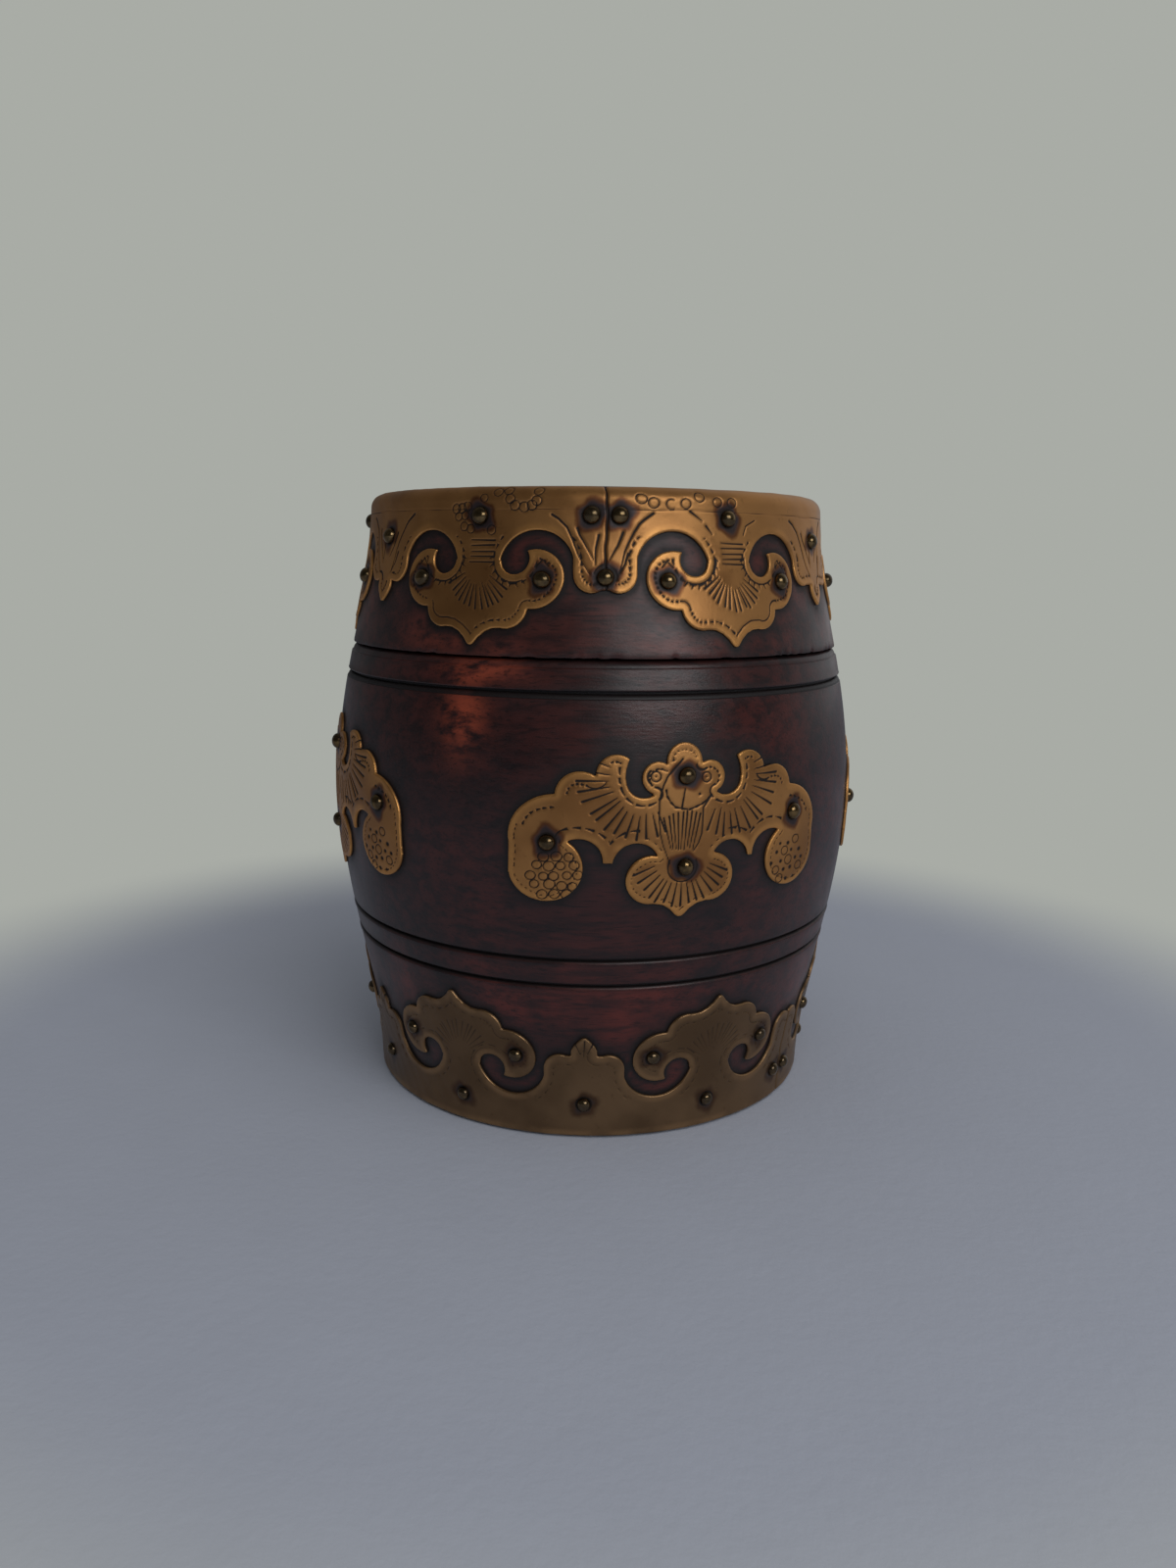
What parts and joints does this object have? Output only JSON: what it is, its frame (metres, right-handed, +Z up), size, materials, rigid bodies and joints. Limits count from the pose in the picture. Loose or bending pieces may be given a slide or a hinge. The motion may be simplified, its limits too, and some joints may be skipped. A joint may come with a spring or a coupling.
{
  "type": "brush holder pot",
  "caption": "Barrel-shaped turned hardwood pot with a lift-off lid, nailed pierced brass collars and bat-shaped brass mounts, for holding writing brushes.",
  "frame": {"origin": "centre of the foot ring, where the pot stands", "axes": "+Z up along the turning axis, -Y towards the viewer, so that the joint of the lid collar is near the front"},
  "size_m": [0.1094, 0.1094, 0.1205],
  "materials": {
    "barrel_wood": "satin, aged rosewood",
    "lid_wood": "satin, aged rosewood",
    "plain_wood": "bare wood",
    "base_brass": "dull, tarnished",
    "lid_brass": "aged, hand rubbed",
    "bat_brass": "aged, hand rubbed",
    "base_nail_brass": "aged",
    "lid_nail_brass": "aged",
    "bat_nail_brass": "aged"
  },
  "bodies": {
    "pot": {"pot_barrel": "barrel_wood", "base_disc": "plain_wood", "base_collar": "base_brass", "base_leaf_nails": "base_nail_brass", "base_foot_nails": "base_nail_brass", "base_scroll_nails": "base_nail_brass", "base_joint_nails": "base_nail_brass", "bat_mount_1": "bat_brass", "bat_mount_2": "bat_brass", "bat_mount_3": "bat_brass", "bat_mount_4": "bat_brass", "bat_nails_1": "bat_nail_brass", "bat_nails_2": "bat_nail_brass", "bat_nails_3": "bat_nail_brass", "bat_nails_4": "bat_nail_brass"},
    "lid": {"lid_shell": "lid_wood", "lid_collar": "lid_brass", "lid_leaf_nails": "lid_nail_brass", "lid_neck_nails": "lid_nail_brass", "lid_scroll_nails": "lid_nail_brass", "lid_joint_nails": "lid_nail_brass"}
  },
  "joints": [
    {"name": "lid_lift", "type": "slide", "parent": "pot", "child": "lid", "axis": [0, 0, 1], "range_m": [0, 0.06]}
  ]
}
